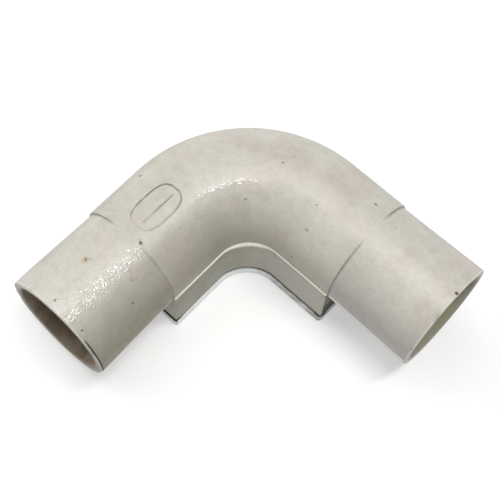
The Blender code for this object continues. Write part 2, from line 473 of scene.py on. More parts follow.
BOSS_RADIUS = 0.0034
BOSS_DROP = 0.0094
INSERT_RADIUS = 0.0023
INSERT_LENGTH = 0.0038
INSERT_INSET = 0.0002
FIT_GAP = 0.0003


def screw_place(arm):
    return ARMS[arm] * SCREW_DISTANCE


def make_elbow():
    rings = outer_rings()
    roughen(rings)
    knock(rings)
    body = add_object("elbow_shell", grid_mesh("elbow_shell", rings))
    boss = [(RIM_HEIGHT + 0.0001, BOSS_RADIUS), (AXIS_HEIGHT - BOSS_DROP, BOSS_RADIUS - 0.0001)]
    hole_top = RIM_HEIGHT + INSERT_INSET + INSERT_LENGTH + FIT_GAP
    hole = [(RIM_HEIGHT - MM, INSERT_RADIUS + FIT_GAP), (hole_top, INSERT_RADIUS + FIT_GAP)]
    hollow = cavity()
    combine(hollow, "DIFFERENCE", *[post("boss", boss, screw_place(arm)) for arm in ARMS])
    combine(body, "DIFFERENCE", hollow)
    combine(body, "DIFFERENCE", *[post("hole", hole, screw_place(arm)) for arm in ARMS])
    rework(body.data, close_up)
    shade(body)
    return body


# ---------------------------------------------------------------- the moulded mark

# Plain oval with a line through it, moulded on the left arm: no lettering
MARK_ALONG = -0.0211
MARK_ANGLE = 89
MARK_LENGTH = 0.0054
MARK_WIDTH = 0.0031
BAR_LENGTH = 0.0040
BAR_ANGLE = 91.5
RIDGE_HEIGHT = 0.00013
RIDGE_HALF_WIDTH = 0.00020
RIDGE_SINK = 0.00002


def surface_point(along, angle):
    """Point and normal on the box's round top; the angle runs from the outer side up and over the crest."""
    centre, outward = path_point(along)
    half_width = OUTER_HALF_WIDTH if math.cos(angle) > 0 else INNER_HALF_WIDTH
    point = centre + outward * half_width * math.cos(angle) + RISE * ROUND_HEIGHT * math.sin(angle)
    normal = outward * math.cos(angle) / half_width + RISE * math.sin(angle) / ROUND_HEIGHT
    return point, normal / np.linalg.norm(normal)


def ridge(path, closed):
    """Low rounded bead along a path of (along, angle) pairs on the box's top."""
    places = [surface_point(along, angle) for along, angle in path]
    points, normals = (np.array(part) for part in zip(*places))
    ahead = np.roll(points, -1, 0) - np.roll(points, 1, 0)
    if not closed:
        ahead[0], ahead[-1] = points[1] - points[0], points[-1] - points[-2]
    ahead /= np.linalg.norm(ahead, axis=1, keepdims=True)
    profile = []
    for k in range(10):
        angle = 2 * math.pi * k / 10
        profile.append((RIDGE_HALF_WIDTH * math.cos(angle), RIDGE_HEIGHT * math.sin(angle) - RIDGE_SINK))
    rings = []
    for point, normal, aside in zip(points, normals, np.cross(ahead, normals)):
        rings.append(np.array([point + aside * across + normal * height for across, height in profile]))
    if closed:
        rings.append(rings[0])
    return grid_mesh("ridge", rings, caps=not closed)


def squared(value, power):
    """A sine or cosine raised to a power below 1, which makes an oval squarer."""
    return math.copysign(abs(value) ** power, value)


def mark_ridges():
    middle = math.radians(MARK_ANGLE)
    oval = []
    for i in range(72):
        turn = 2 * math.pi * i / 72
        length = MARK_LENGTH * squared(math.cos(turn), 0.66)
        width = MARK_WIDTH * squared(math.sin(turn), 0.72)
        oval.append((MARK_ALONG + length, middle + width / ROUND_HEIGHT))
    bar = [(MARK_ALONG + off, math.radians(BAR_ANGLE)) for off in even(BAR_LENGTH, 24)]
    return [ridge(oval, True), ridge(bar, False)]


# ---------------------------------------------------------------- cover, screws and inserts

COVER_HALF_WIDTH = 0.0120
COVER_CORNER_RADIUS = 0.0008
COVER_HOLE_RADIUS = 0.0018
COVER_RINGS = 90
COVER_BOTTOM_ROUND = 0.00040
COVER_TOP_ROUND = 0.00024
EJECTOR_RADIUS = 0.0015
EJECTOR_DEPTH = 0.00008
EJECTOR_PLACES = (-0.0200, 0.0, 0.0200)
RIB_HEIGHT = 0.0016
RIB_WIDTH = 0.0012
RIB_GAP = 0.00035
SINK_RADIUS = 0.0031
SCREW_LENGTH = 0.0060
SCREW_RADIUS = 0.0015
SCREW_HEAD_RADIUS = 0.00275
SCREW_RECESS = 0.00015
SCREW_TURN = {"left": 14, "right": 71}
SLOT_WIDTH = 0.0008
SLOT_DEPTH = 0.0007
THREAD_PITCH = 0.0005
THREAD_DEPTH = 0.00028
INSERT_BORE_RADIUS = 0.00185
INSERT_THREAD_DEPTH = 0.00022
KNURL_DEPTH = 0.00009


def cover_edge_height(along, inside):
    """How far the warped cover stands above its top: it touches the box on the left and then falls away."""
    if not inside:
        return 0.00010 * (1 + math.sin(along * 90))
    touching = math.exp(-(((along + 0.0180) / 0.0065) ** 4)) * 0.00040
    return touching - 0.00012 * min(1.0, max(0.0, (-along - 0.0240) / 0.0030))


def cover_ring(along, half_width, low, high):
    """Closed section of the cover, as (outward, height above the resting plane)."""
    bottom_round = min(COVER_BOTTOM_ROUND, (high - low) * 0.4)
    top_round = min(COVER_TOP_ROUND, (high - low) * 0.2)
    outer_edge, inner_edge = cover_edge_height(along, False), cover_edge_height(along, True)
    columns = 24
    points = [(across, low) for across in even(half_width - bottom_round, columns)]
    for sine, cosine in quarter(5)[1:]:
        points.append((half_width - bottom_round * (1 - sine), low + bottom_round * (1 - cosine)))
    top = high + outer_edge
    wall = top - top_round - low - bottom_round
    points += [(half_width, low + bottom_round + wall * i / 3) for i in range(1, 4)]
    for sine, cosine in quarter(3)[1:]:
        points.append((half_width - top_round * (1 - cosine), top - top_round * (1 - sine)))
    for i in range(1, columns):
        share = i / columns
        lift = outer_edge * max(0.0, 1 - share * 8) + inner_edge * max(0.0, share * 8 - 7)
        points.append(((half_width - top_round) * (1 - 2 * share), high + lift))
    top = high + inner_edge
    wall = top - top_round - low - bottom_round
    for sine, cosine in quarter(3):
        points.append((-half_width + top_round * (1 - sine), top - top_round * (1 - cosine)))
    points += [(-half_width, top - top_round - wall * i / 3) for i in range(1, 4)]
    for sine, cosine in quarter(5)[1:-1]:
        points.append((-half_width + bottom_round * (1 - cosine), low + bottom_round * (1 - sine)))
    return np.array(points)


def raise_ring(along, section):
    """World points of a section whose heights are measured from the resting plane."""
    return place_ring(along, section - np.array([0.0, AXIS_HEIGHT]))


def cover_stations():
    """(distance from the end, narrowing, drop of the edge) of the rings that round the cover's end off."""
    edge = 0.00030
    backs = [edge * (1 - cosine) for _, cosine in quarter(4)]
    backs += [edge + (COVER_CORNER_RADIUS - edge) * i / 8 for i in range(1, 9)]
    rings = []
    for back in backs:
        drop = edge - math.sqrt(max(0.0, edge**2 - max(0.0, edge - back) ** 2))
        depth = COVER_CORNER_RADIUS - back
        narrowing = COVER_CORNER_RADIUS - math.sqrt(max(0.0, COVER_CORNER_RADIUS**2 - depth**2))
        rings.append((back, narrowing + drop * 0.5, drop))
    return rings


def cover_end(side):
    """Rings of one end of the cover, from the end inward."""
    rings = []
    for back, shrink, inset in cover_stations():
        along = side * (PATH_SHOULDER - back)
        section = cover_ring(along, COVER_HALF_WIDTH - shrink, inset, COVER_THICKNESS - inset)
        rings.append(raise_ring(along, section))
    return rings


def cover_plate():
    middle = even(PATH_SHOULDER - COVER_CORNER_RADIUS, COVER_RINGS)[1:-1]
    rings = [raise_ring(along, cover_ring(along, COVER_HALF_WIDTH, 0.0, COVER_THICKNESS)) for along in middle]
    return add_object("cover_plate", grid_mesh("cover_plate", cover_end(-1) + rings + cover_end(1)[::-1]))


def rib(name, outside, inside):
    """A rib inside the box, between two offsets from the centreline, with a slightly narrower top."""
    low, high = COVER_THICKNESS / 2, COVER_THICKNESS + RIB_HEIGHT
    narrow = 0.00012
    section = [(inside, low), (outside, low), (outside, high - narrow), (outside - narrow, high)]
    section += [(inside + narrow, high), (inside, high - narrow)]
    stations = even(PATH_SHOULDER - END_WALL - RIB_GAP, 72)
    return add_object(name, grid_mesh(name, [raise_ring(along, np.array(section)) for along in stations]))


def cover_cutters():
    """The countersunk screw holes, the gate's dimple underneath and the ejector pins' prints inside."""
    rim = 0.0002
    hole = [
        (-MM, SINK_RADIUS + rim),
        (0.0, SINK_RADIUS + rim),
        (rim * 0.5, SINK_RADIUS + rim * 0.1),
        (SINK_RADIUS - COVER_HOLE_RADIUS, COVER_HOLE_RADIUS),
        (COVER_THICKNESS + MM, COVER_HOLE_RADIUS),
    ]
    cutters = [post("sink", hole, screw_place(arm), 64) for arm in ARMS]
    cutters.append(post("gate", [(-MM, 0.0017), (0.00012, 0.0016)], path_point(0.0)[0], 40))
    pin = [(COVER_THICKNESS - EJECTOR_DEPTH, EJECTOR_RADIUS), (COVER_THICKNESS + MM, EJECTOR_RADIUS)]
    for along in EJECTOR_PLACES:
        cutters.append(post("pin", pin, path_point(along)[0], 32))
    return cutters


def make_cover():
    cover = cover_plate()
    outside = CHAMBER_RADIUS - RIB_GAP
    inside = outside - RIB_WIDTH
    combine(cover, "UNION", rib("outer_rib", outside, inside), rib("inner_rib", -inside, -outside))
    combine(cover, "DIFFERENCE", *cover_cutters())
    rework(cover.data, close_up)
    nub = turned("nub", [(0.00002, 0.00038), (0.00018, 0.00052)], 20)
    middle, _ = path_point(0.0)
    nub.transform(Matrix.Translation((middle[0], middle[1], 0)))
    merge(cover, nub)
    shade(cover)
    return cover


def tooth(turns):
    """0 at the root and 1 at the crest of a thread, for a phase in turns."""
    phase = turns - math.floor(turns)
    return min(1.0, max(0.0, 1.25 - abs(phase - 0.5) * 3.2))


def make_screw(arm):
    """Slotted countersunk screw with a rolled thread. Its origin is on its axis, at the flat of the head."""
    head_depth = SCREW_HEAD_RADIUS - SCREW_RADIUS
    root = SCREW_RADIUS - THREAD_DEPTH
    angles = [2 * math.pi * i / 40 for i in range(40)]
    edge = 0.00012
    head = SCREW_HEAD_RADIUS - edge
    plain = [(0.0, head), (edge * 0.3, SCREW_HEAD_RADIUS - edge * 0.3), (edge, head)]
    plain += [(head_depth, SCREW_RADIUS), (head_depth + 0.0002, SCREW_RADIUS - 0.00003)]
    rings = [[(r * math.cos(a), r * math.sin(a), h) for a in angles] for h, r in plain]
    start, end = head_depth + 0.0004, SCREW_LENGTH
    rows = int((end - start) / (THREAD_PITCH / 8))
    for row in range(rows + 1):
        height = start + (end - start) * row / rows
        point = max(0.0, height - (SCREW_LENGTH - 0.0004))
        ring = []
        for a in angles:
            radius = root + (SCREW_RADIUS - root) * tooth(height / THREAD_PITCH - a / (2 * math.pi))
            radius = min(radius, SCREW_RADIUS - point)
            ring.append((radius * math.cos(a), radius * math.sin(a), height))
        rings.append(ring)
    screw = add_object("screw_" + arm, grid_mesh("screw_" + arm, [np.array(r) for r in rings]))
    size = Matrix.Diagonal((SCREW_HEAD_RADIUS * 3, SLOT_WIDTH, SLOT_DEPTH * 2, 1))
    slot = bpy.data.meshes.new("slot")
    rework(slot, lambda mesh: bmesh.ops.create_cube(mesh, size=1, matrix=size))
    combine(screw, "DIFFERENCE", add_object("slot", slot))
    screw.location = screw_place(arm) + UP * SCREW_RECESS
    screw.rotation_euler = (0, 0, math.radians(SCREW_TURN[arm]))
    shade(screw, 28)
    return screw


def insert_profile(a):
    """(height, radius) round the insert's section at an angle: up the bore's thread and down the knurls."""
    rows = 46
    middle = INSERT_LENGTH / 2
    chamfer = 0.00018
    profile = []
    for row in range(rows + 1):
        height = INSERT_LENGTH * row / rows
        lead = max(0.0, chamfer - min(height, INSERT_LENGTH - height))
        crest = INSERT_THREAD_DEPTH * tooth(height / THREAD_PITCH - a / (2 * math.pi)) * (1 - lead / chamfer)
        profile.append((height, INSERT_BORE_RADIUS - crest + lead * 0.4))
    for row in range(rows + 1):
        height = INSERT_LENGTH * (1 - row / rows)
        lead = max(0.0, chamfer - min(height, INSERT_LENGTH - height))
        groove = 0.0003 if abs(height - middle) < 0.0004 else 0.0
        twist = height / 0.0009 * (1 if height > middle else -1)
        knurl = KNURL_DEPTH * (0.5 + 0.5 * math.sin(20 * a + twist * math.pi))
        profile.append((height, INSERT_RADIUS - max(groove, knurl) - lead))
    return profile


def make_insert(arm):
    """Knurled brass insert with a real thread in its bore."""
    rings = []
    for i in range(60):
        a = 2 * math.pi * i / 60
        rings.append(np.array([(r * math.cos(a), r * math.sin(a), h) for h, r in insert_profile(a)]))
    rings.append(rings[0])
    insert = add_object("insert_" + arm, grid_mesh("insert_" + arm, rings, caps=False))
    rework(insert.data, close_seam)
    insert.location = screw_place(arm) + UP * (RIM_HEIGHT + INSERT_INSET)
    shade(insert, 28)
    return insert


# ---------------------------------------------------------------- materials


class Shader:
    """A Principled material, with short ways to add the nodes it is fed by."""

    def __init__(self, name):
        self.material = bpy.data.materials.new(name)
        self.material.use_nodes = True
        self.tree = self.material.node_tree
        self.surface = self.tree.nodes["Principled BSDF"]
        self.place = self.tree.nodes.new("ShaderNodeTexCoord").outputs["Object"]

    def link(self, source, target):
        """Feed an input from another node's output, or set it to a number, a place or a colour."""
        if isinstance(source, (int, float)):
            target.default_value = source
        elif isinstance(source, tuple):
            target.default_value = (*source, 1.0)[: len(target.default_value)]
        else:
            self.tree.links.new(source, target)

    def node(self, kind, output, inputs, **settings):
        """Add a node, give it its settings and inputs, and hand back one of its outputs."""
        made = self.tree.nodes.new("ShaderNode" + kind)
        for name, value in settings.items():
            setattr(made, name, value)
        for socket, source in inputs.items():
            self.link(source, made.inputs[socket])
        return made.outputs[output]

    def noise(self, scale, detail=4.0, rough=0.55, stretch=None):
        place = self.place
        if stretch:
            turn = (0.0, 0.0, math.radians(stretch[3]))
            place = self.node("Mapping", "Vector", {"Scale": stretch[:3], "Rotation": turn, "Vector": place})
        inputs = {"Scale": scale, "Detail": detail, "Roughness": rough, "Vector": place}
        return self.node("TexNoise", "Fac", inputs)

    def axis(self, letter):
        return self.node("SeparateXYZ", letter, {"Vector": self.place})

    def cells(self, scale):
        return self.node("TexVoronoi", "Distance", {"Scale": scale, "Vector": self.place})

    def ramp(self, value, low, high, to_low=0.0, to_high=1.0):
        inputs = {"From Min": low, "From Max": high, "To Min": to_low, "To Max": to_high, "Value": value}
        return self.node("MapRange", "Result", inputs, interpolation_type="SMOOTHSTEP")

    def maths(self, operation, first, second):
        return self.node("Math", "Value", {0: first, 1: second}, operation=operation)

    def times(self, first, second):
        return self.maths("MULTIPLY", first, second)

    def mix(self, share, first, second):
        return self.node("Mix", "Result", {"Factor": share, "A": first, "B": second}, data_type="RGBA")

    def patches(self, colour, tint, share, noise, low, high):
        """Tint a colour where a noise rises from a low to a high value."""
        return self.mix(self.times(self.ramp(noise, low, high), share), colour, tint)

    def attribute(self, name):
        return self.node("Attribute", "Fac", {}, attribute_name=name)

    def wobbled(self, reach, scale):
        """The object's own coordinates shaken by a noise, so that round marks get ragged edges."""
        shake = self.node("TexNoise", "Color", {"Scale": scale, "Vector": self.place})
        both = {0: shake, 1: (reach * 2,) * 3, 2: (-reach,) * 3}
        shift = self.node("VectorMath", "Vector", both, operation="MULTIPLY_ADD")
        return self.node("VectorMath", "Vector", {0: self.place, 1: shift}, operation="ADD")

    def spot(self, point, radius, places):
        """1 at a point on the object, fading to 0 at a radius."""
        away = self.node("VectorMath", "Value", {0: places, 1: tuple(point)}, operation="DISTANCE")
        return self.ramp(away, radius, radius * 0.45)

    def bump(self, height, distance, strength, before=None):
        inputs = {"Distance": distance, "Strength": strength, "Height": height}
        if before:
            inputs["Normal"] = before
        return self.node("Bump", "Normal", inputs)

    def finish(self, colour, roughness, normal=None, metallic=0.0):
        self.link(colour, self.surface.inputs["Base Color"])
        self.link(roughness, self.surface.inputs["Roughness"])
        self.surface.inputs["Metallic"].default_value = metallic
        if normal:
            self.link(normal, self.surface.inputs["Normal"])
        return self.material


PVC = (0.440, 0.422, 0.372)
PVC_PALE = (0.486, 0.480, 0.432)
PVC_PINK = (0.462, 0.412, 0.372)
PVC_OLIVE = (0.295, 0.312, 0.214)
PVC_SHADED = (0.305, 0.275, 0.212)
PVC_DARK = (0.165, 0.155, 0.100)
PVC_COOL_SHADE = (0.330, 0.325, 0.318)
PVC_GREY = (0.255, 0.260, 0.255)
PVC_PAINTED_LIGHT = (0.560, 0.555, 0.520)
PVC_WORN_HIGHLIGHT = (0.920, 0.895, 0.830)
PVC_YELLOW = (0.400, 0.345, 0.230)
DIRT = (0.085, 0.070, 0.050)
STAIN = (0.19, 0.13, 0.07)
BLACK = (0.012, 0.010, 0.009)
BORE_DARK, BORE_PALE = (0.165, 0.120, 0.072), (0.275, 0.215, 0.150)
COVER_WHITE, COVER_GREY = (0.90, 0.93, 0.92), (0.84, 0.87, 0.86)
STEEL_BRIGHT, STEEL_DULL = (0.56, 0.56, 0.55), (0.36, 0.35, 0.33)
BRASS_BRIGHT, BRASS_DULL = (0.72, 0.50, 0.20), (0.42, 0.28, 0.12)
RUST = (0.20, 0.11, 0.05)
# Tints that paint shade and light into the colour: shaded sides, a cooler shaded underside on the right
# socket, a lighter top on the left socket, grey outer edges, olive shaded walls, and a dark shaded underside
# in the crook
TINTS = {
    "side": PVC_SHADED,
    "cool_shade": PVC_COOL_SHADE,
    "light": PVC_PAINTED_LIGHT,
    "shade": PVC_GREY,
    "wall": PVC_OLIVE,
    "crook_shade": PVC_DARK,
}

# Single marks on the outside: (mm along the path, degrees round from the outer side, radius in mm, colour)
SPOTS = [
    (-28.4, 104, 0.52, BLACK),
    (-28.0, 101, 0.20, DIRT),
    (-38.1, 80, 1.05, PVC_YELLOW),
    (-37.9, 80, 0.42, STAIN),
    (-37.3, 83, 0.24, DIRT),
    (-37.1, 141, 0.30, DIRT),
    (-49.0, 12, 1.60, PVC_SHADED),
    (-49.1, 22, 0.45, DIRT),
    (-49.1, 4, 0.45, DIRT),
    (-47.5, 89, 0.32, STAIN),
    (-46.9, 90, 0.18, STAIN),
    (-47.8, 125, 0.26, DIRT),
    (-34.5, 124, 0.20, STAIN),
    (-17.5, 47, 0.42, DIRT),
    (-3.8, 64, 0.26, DIRT),
    (6.7, 88, 0.24, DIRT),
    (17.5, 108, 0.26, STAIN),
    (19.0, 132, 0.45, PVC_SHADED),
    (25.7, 68, 0.32, DIRT),
    (19.0, 171, 0.24, BLACK),
    (48.7, 88, 0.50, BLACK),
    (48.9, 158, 0.35, STAIN),
    (-48.2, 178, 0.60, STAIN),
    (-48.6, 12, 0.50, STAIN),
    (-14.8, 110, 0.22, STAIN),
    (-20.6, 119, 0.20, STAIN),
    (-1.2, 128, 0.30, STAIN),
    (12.2, 52, 0.20, STAIN),
    (31.8, 75, 0.18, STAIN),
]


def spot_place(along, degrees):
    if abs(along) < PATH_SHOULDER:
        return surface_point(along, math.radians(degrees))[0]
    section = np.array([[math.cos(math.radians(degrees)), math.sin(math.radians(degrees))]])
    return place_ring(along, section * socket_radius(PATH_END - abs(along)))[0]


def aged_colour(s):
    """Off-white, tinted pink in places, yellowed and finely speckled, with painted shade, olive on the walls,
    and painted light laid on as tints.
    """
    colour = s.mix(s.ramp(s.noise(55, 2), 0.35, 0.65), PVC_PALE, PVC)
    colour = s.patches(colour, PVC_PINK, 0.7, s.noise(85, 2), 0.48, 0.66)
    # painted shade and painted light, one tint layer at a time
    for layer, tint in TINTS.items():
        colour = s.mix(s.attribute(layer), colour, tint)
    colour = s.patches(colour, PVC_YELLOW, 0.26, s.noise(420), 0.42, 0.80)
    colour = s.patches(colour, STAIN, 0.12, s.noise(900, 4, 0.6), 0.45, 0.85)
    coarse = s.ramp(s.noise(520, 2), 0.35, 0.68, 0.0, 0.08)
    fine = s.ramp(s.noise(1900, 2), 0.4, 0.7, 0.0, 0.07)
    return s.mix(s.maths("ADD", coarse, fine), colour, DIRT)


def marked(s, colour, grime_and_shade):
    """The stained mark, worn edges with a painted highlight, darker corners and creases with painted shade, a
    painted shadow in the slot above the cover, and specks and spots.
    """
    stained = s.times(s.attribute("mark"), s.ramp(s.noise(700, 3, 0.6), 0.40, 0.70))
    colour = s.mix(s.times(stained, 0.16), colour, STAIN)
    # worn edges with a painted highlight
    colour = s.mix(s.attribute("edge"), colour, PVC_WORN_HIGHLIGHT)
    # dirt and painted shade, from the layer set point by point
    colour = s.mix(grime_and_shade, colour, DIRT)
    # painted shadow: the gap above the cover, a crack inside the left mouth's rim, and the foot of the box's
    # right end
    colour = s.mix(s.attribute("painted_shadow"), colour, BLACK)
    # painted shadow in the slot between the cover and the box's rim at its left end
    end = s.ramp(s.axis("Y"), 0.0009 - SHOULDER, 0.0007 - SHOULDER)
    slot = s.times(end, s.ramp(s.axis("Z"), RIM_HEIGHT + 0.0009, RIM_HEIGHT + 0.0006))
    colour = s.mix(slot, colour, BLACK)
    specks = s.times(s.ramp(s.cells(300), 0.070, 0.045), s.ramp(s.noise(190, 2), 0.74, 0.78))
    colour = s.mix(s.times(specks, 0.6), colour, DIRT)
    wobble = s.wobbled(0.00030, 1700)
    for along, degrees, radius, tint in SPOTS:
        spot = s.spot(spot_place(along * MM, degrees), radius * MM, wobble)
        colour = s.mix(s.times(spot, 0.97), colour, tint)
    return colour


def aged_pvc():
    """Old off-white PVC: dull and dirty, with painted shade, painted shadow and painted light in its colour,
    and a moulded orange peel that still shines on the left socket.
    """
    s = Shader("aged_pvc")
    grime_and_shade = s.times(s.attribute("grime_and_shade"), s.ramp(s.noise(420), 0.30, 0.62, 0.45, 1.0))
    colour = marked(s, aged_colour(s), grime_and_shade)
    rough = s.ramp(s.noise(150, 2), 0.3, 0.7, 0.36, 0.44)
    rough = s.maths("ADD", rough, s.times(grime_and_shade, 0.35))
    rough = s.maths("ADD", rough, s.times(s.attribute("painted_shadow"), 0.40))
    peeled = s.attribute("peel")
    normal = s.bump(s.times(s.noise(2600, 0), peeled), 0.00012, 1.0)
    normal = s.bump(s.noise(330, 1), 0.00012, 0.25, normal)
    normal = s.bump(s.noise(1100, 2), 0.00005, 0.30, normal)
    s.link(s.times(peeled, s.ramp(s.noise(800, 2), 0.42, 0.62, 0.12, 0.80)), s.surface.inputs["Coat Weight"])
    s.surface.inputs["Coat Roughness"].default_value = 0.07
    s.link(normal, s.surface.inputs["Coat Normal"])
    return s.finish(colour, rough, normal)


def bore_plastic():
    """The same plastic inside, browned by years of dust and pulled cables and darkened with painted shade,
    with painted light near the right mouth.
    """
    s = Shader("bore_plastic")
    streak = s.noise(300, 4, 0.6, (1.0, 1.0, 3.5, 0))
    # brown and dark: dirt together with painted shade
    colour = s.mix(s.ramp(s.noise(150), 0.35, 0.7), BORE_DARK, BORE_PALE)
    colour = s.patches(colour, DIRT, 0.5, streak, 0.45, 0.75)
    # painted light: lighter olive near the right mouth
    colour = s.mix(s.attribute("bore_painted_light"), colour, PVC_OLIVE)
    normal = s.bump(s.noise(1300), 0.00005, 0.5)
    return s.finish(colour, s.ramp(streak, 0.3, 0.7, 0.55, 0.8), normal)


def cover_pvc():
    """The cover's plastic: a cooler white that has aged less, with painted shade along its foot and right
    end, and painted shadow on its left end.
    """
    s = Shader("cover_pvc")
    middle = s.noise(380)
    colour = s.mix(s.ramp(s.noise(80, 3), 0.35, 0.7), COVER_WHITE, COVER_GREY)
    colour = s.patches(colour, PVC_YELLOW, 0.22, middle, 0.50, 0.8)
    # painted shade along the cover's foot and towards its right end
    colour = s.mix(s.times(s.attribute("grime_and_shade"), s.ramp(middle, 0.30, 0.62, 0.3, 1.0)), colour, DIRT)
    # painted shadow in two bands on the cover's left end, and where the layer marks it
    end = s.ramp(s.axis("Y"), 0.00045 - SHOULDER, 0.00030 - SHOULDER)
    end = s.times(end, s.ramp(s.axis("X"), 0.003, 0.008))
    height = s.axis("Z")
    shadow_lines = s.maths("MAXIMUM", s.ramp(height, 0.0015, 0.0018), s.ramp(height, 0.0008, 0.0005))
    colour = s.mix(s.maths("MAXIMUM", s.attribute("painted_shadow"), s.times(end, shadow_lines)), colour, BLACK)
    scuffs = s.ramp(s.noise(260, 3, 0.5, (3.0, 1.0, 1.0, 20)), 0.58, 0.76)
    colour = s.mix(s.times(scuffs, 0.10), colour, DIRT)
    normal = s.bump(s.noise(1700, 3, 0.6), 0.00004, 0.4)
    normal = s.bump(scuffs, 0.00003, 0.4, normal)
    return s.finish(colour, s.ramp(middle, 0.3, 0.75, 0.42, 0.60), normal)


def zinc_steel():
    s = Shader("zinc_steel")
    dull = s.ramp(s.noise(900), 0.4, 0.7)
    colour = s.mix(dull, STEEL_BRIGHT, STEEL_DULL)
    colour = s.patches(colour, RUST, 0.7, s.noise(450), 0.58, 0.70)
    normal = s.bump(s.noise(2600, 3), 0.00002, 0.4)
    return s.finish(colour, s.ramp(dull, 0.0, 1.0, 0.28, 0.52), normal, 1.0)


def dull_brass():
    s = Shader("dull_brass")
    dull = s.ramp(s.noise(800), 0.35, 0.7)
    colour = s.mix(dull, BRASS_BRIGHT, BRASS_DULL)
    normal = s.bump(s.noise(2400, 3), 0.00002, 0.4)
    return s.finish(colour, s.ramp(dull, 0.0, 1.0, 0.26, 0.5), normal, 1.0)


# ---------------------------------------------------------------- dirt, painted light and painted shade, and the inside, point by point


def path_coordinates(points):
    """Along, outward and up for points of a mesh, following the elbow's centreline."""
    along = np.zeros(len(points))
    across = np.zeros(len(points))
    x, y = points[:, 0], points[:, 1]
    in_bend = (x < BEND_RADIUS) & (y > -BEND_RADIUS)
    from_centre = np.hypot(x - BEND_RADIUS, y + BEND_RADIUS)
    turn = np.arctan2(y + BEND_RADIUS, BEND_RADIUS - x)
    along[in_bend] = ((turn - math.radians(45)) * BEND_RADIUS)[in_bend]
    across[in_bend] = (from_centre - BEND_RADIUS)[in_bend]
    on_left = ~in_bend & (y <= -BEND_RADIUS)
    along[on_left] = (y + BEND_RADIUS)[on_left] - HALF_ARC
    across[on_left] = -x[on_left]
    on_right = ~in_bend & ~on_left
    along[on_right] = (x - BEND_RADIUS)[on_right] + HALF_ARC
    across[on_right] = y[on_right]
    return along, across, points[:, 2] - AXIS_HEIGHT


def vectors_of(collection, name):
    values = np.zeros(len(collection) * 3)
    collection.foreach_get(name, values)
    return values.reshape(-1, 3)


def set_layers(piece, layers):
    """Store numbers from 0 to 1 for each point of the mesh, for the material to read."""
    for name, values in layers.items():
        layer = piece.data.attributes.new(name, "FLOAT", "POINT")
        layer.data.foreach_set("value", np.clip(values, 0, 1).astype(np.float32))


def close_to(values, target, width):
    return np.exp(-(((values - target) / width) ** 2))


def between(values, low, high, soft):
    """1 between two values, fading out over a soft margin on either side."""
    return np.clip((values - low) / soft + 0.5, 0, 1) * np.clip((high - values) / soft + 0.5, 0, 1)


class Where:
    """Where each point of the elbow is: along, outward and up from the centreline, and degrees round it."""

    def __init__(self, piece):
        self.along, self.across, self.up = path_coordinates(vectors_of(piece.data.vertices, "co"))
        self.crook = self.across < 0
        self.radius = np.hypot(self.across, self.up)
        self.degrees = np.degrees(np.arctan2(self.up, self.across))
        self.turned_in = np.where(self.degrees < -90, self.degrees + 360, self.degrees)
        self.on_box = np.abs(self.along) < PATH_SHOULDER + 0.0002
        self.outside = self.radius > ROOT_RADIUS + 0.0001
        self.right_end = (self.along > PATH_SHOULDER - 0.0001) & self.on_box & self.outside & self.crook
        self.right_end &= self.up < -PARTING_DROP
        self.wall = self.on_box * (self.up < -PARTING_DROP - 0.0003) * self.outside
        self.wall = self.wall * np.where(np.abs(self.along) > PATH_SHOULDER - 0.0002, 0.4, 1.0)


def grime_and_shade_on(at, ridges_from):
    """Darker in the shoulders' creases, on the mouths' rims, on the left mouth's end face and below the
    ledge, dirt round the moulded ridges, and painted shade on the box's right end face.
    """
    crease = close_to(np.abs(at.along), PATH_SHOULDER + 0.00010, 0.00016)
    crease *= at.radius < ROOT_RADIUS + 0.00012
    # less darkening on the ridge, where the socket runs flush into the box
    worn = 1 - 0.97 * between(at.degrees, 70, 108, 12)
    worn *= np.where(at.along < 0, np.where(at.degrees > 90, 0.45, 0.9), 0.9)
    rim = close_to(np.abs(at.along), PATH_END, 0.00022)
    rim *= close_to(at.radius, BORE_MOUTH_RADIUS + 0.0003, 0.0005)
    groove = close_to(at.up, -PARTING_DROP - 0.00055, 0.00035) * at.on_box * at.outside * at.crook
    face = (at.along < 0.00005 - PATH_END) * (at.radius < MOUTH_RADIUS - 0.0004)
    face = face * between(at.turned_in, 95, 152, 24)
    # painted shade on the box's right end face; the other terms darken the shoulders' creases, the mouths'
    # rims, the left mouth's end face and a band below the ledge
    grime_and_shade = 0.75 * crease * worn + 0.45 * rim + 0.85 * at.right_end + 0.25 * groove + 0.75 * face
    ridges = slice(ridges_from, None)
    grime_and_shade[ridges] = ridge_grime(at.along[ridges], at.across[ridges], at.up[ridges])
    return grime_and_shade


def painted_shadow_on(at):
    """Painted shadow: the dark line above the cover, a crack line on the left mouth's lower rim, and the foot
    of the box's right end.
    """
    rim_height = -RIM_DROP + np.array([rim_lift(a) for a in at.along])
    rightward = np.clip((at.along - 0.002) / 0.012, 0, 1)
    foot = between(at.up, -RIM_DROP - MM, rim_height + 0.00020 + 0.00055 * rightward, 0.0001) * at.on_box
    foot *= np.where(rightward > 0, 1.0, np.where(at.along > -0.010, 0.9, 0.45))
    # painted shadow of a crack along the left mouth's lower rim
    rim_line = 3.0 * close_to(at.along, 0.00040 - PATH_END, 0.00012) * (at.radius > 0.0115)
    rim_line *= between(at.turned_in, 136, 186, 8)
    return foot + rim_line + at.right_end * np.clip((-at.up - 0.006) / 0.009, 0, 0.75)


